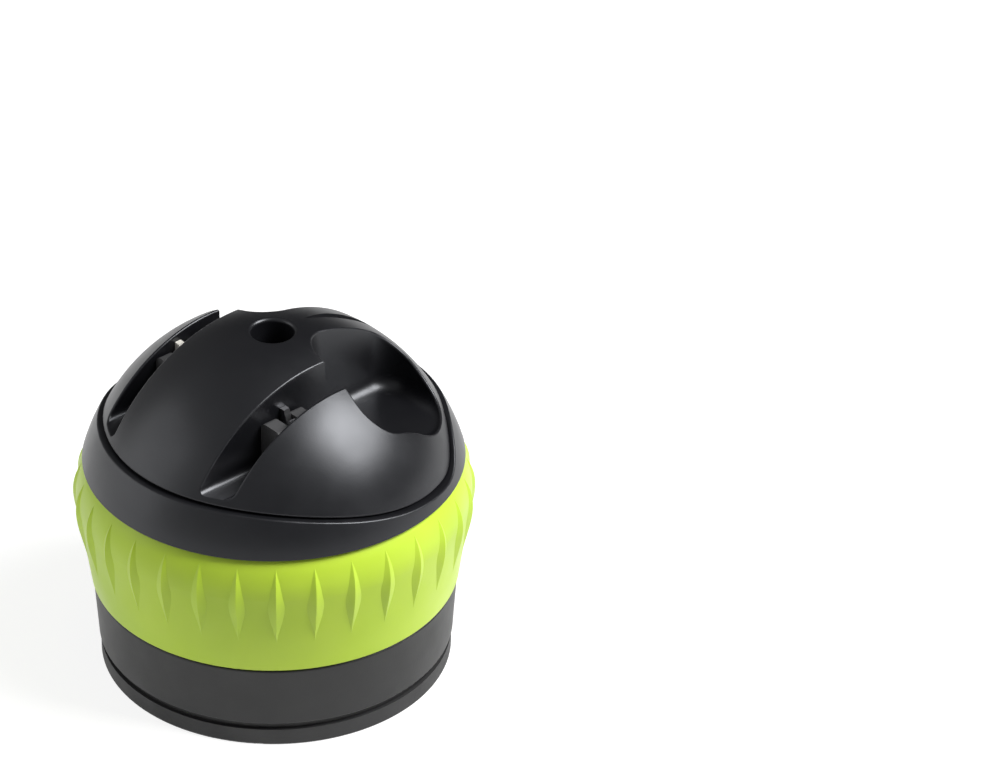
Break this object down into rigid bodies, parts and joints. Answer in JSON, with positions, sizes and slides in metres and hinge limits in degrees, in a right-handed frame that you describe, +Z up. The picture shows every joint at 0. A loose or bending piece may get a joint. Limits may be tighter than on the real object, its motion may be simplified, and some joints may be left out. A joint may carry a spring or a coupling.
{
  "type": "manual knife sharpener",
  "caption": "Round table-top knife sharpener: suction foot, ribbed lime twist ring that locks the suction, and a black domed cap with parallel knife slots and scooped pockets.",
  "frame": {"origin": "middle of the foot's underside, on the surface that the sharpener stands on", "axes": "+Z up along the twist ring's axis, +X along the knife slots towards the knife's handle, Y = 0 the cap's mirror plane"},
  "size_m": [0.0676, 0.0676, 0.063],
  "materials": {
    "lime_plastic": "satin moulded lime plastic",
    "black_plastic": "satin moulded black plastic",
    "grey_plastic": "matte moulded dark grey plastic",
    "rubber": "soft matte rubber",
    "acetal": "natural acetal",
    "holder_plastic": "matte moulded plastic",
    "steel": "plain steel",
    "carbide": "ground tungsten carbide",
    "ceramic": "fine unglazed ceramic"
  },
  "bodies": {
    "base": {"suction_cup_rim": "rubber", "suction_cup_membrane": "rubber", "base_shell": "grey_plastic", "guide_column": "acetal", "column_screws": "steel", "lower_glide_ring": "acetal", "upper_glide_ring": "acetal", "cap_collar": "black_plastic", "dome": "black_plastic", "central_screw": "steel", "front_cutter_holder": "holder_plastic", "rear_cutter_holder": "holder_plastic", "carbide_plate_left": "carbide", "carbide_plate_right": "carbide", "ceramic_plate_left": "ceramic", "ceramic_plate_right": "ceramic", "cutter_screws": "steel"},
    "ring": {"twist_ring": "lime_plastic", "cam_sleeve": "acetal", "cam_screws": "steel"},
    "lift": {"lift_stem": "acetal", "cross_pin": "steel", "suction_cup_boss": "rubber"}
  },
  "joints": [
    {"name": "ring_twist", "type": "hinge", "parent": "base", "child": "ring", "pos_m": [0, 0, 0.02], "axis": [0, 0, -1], "range_deg": [0, 90]},
    {"name": "stem_lift", "type": "slide", "parent": "base", "child": "lift", "axis": [0, 0, 1], "range_m": [0, 0.003], "deforming": ["suction_cup_membrane"]}
  ],
  "couplings": [
    {"joint": "stem_lift", "follows": "ring_twist", "m_per_rad": 0.0019098}
  ]
}
